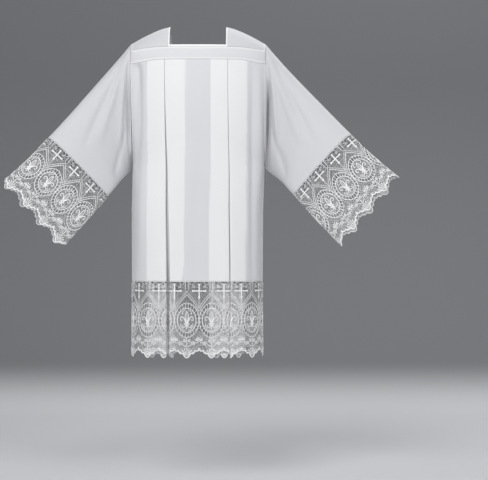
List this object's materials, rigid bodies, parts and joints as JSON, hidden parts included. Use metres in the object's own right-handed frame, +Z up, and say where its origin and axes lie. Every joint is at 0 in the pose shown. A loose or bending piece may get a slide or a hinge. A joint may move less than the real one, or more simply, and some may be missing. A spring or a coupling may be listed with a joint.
{
  "type": "lace surplice",
  "caption": "White surplice with a square yoke, inverted pleats, wide sleeves and deep scalloped lace at the hem and cuffs, hollow as worn.",
  "frame": {"origin": "midway between the neck ends of the two shoulder lines, where the wearer's shoulders hold the garment", "axes": "+Z up as worn, the front faces -Y, +X to the right seen from the front, across the two sleeves"},
  "size_m": [1.2347, 0.3504, 1.0469],
  "materials": {
    "cloth": "cool white plain-weave cloth, matt, slightly sheer",
    "binding": "folded white cloth binding, matt",
    "lace": "white corded lace, matt thread with a faint sheen"
  },
  "bodies": {
    "root": {"neck_binding": "binding", "yoke_band_front": "cloth", "yoke_band_back": "cloth", "shoulder_left": "cloth", "shoulder_right": "cloth", "front": "cloth", "back": "cloth", "sleeve_left_front": "cloth", "sleeve_left_back": "cloth", "sleeve_right_front": "cloth", "sleeve_right_back": "cloth", "hem_lace_front": "lace", "hem_lace_back": "lace", "cuff_lace_left_front": "lace", "cuff_lace_left_back": "lace", "cuff_lace_right_front": "lace", "cuff_lace_right_back": "lace"}
  },
  "joints": []
}
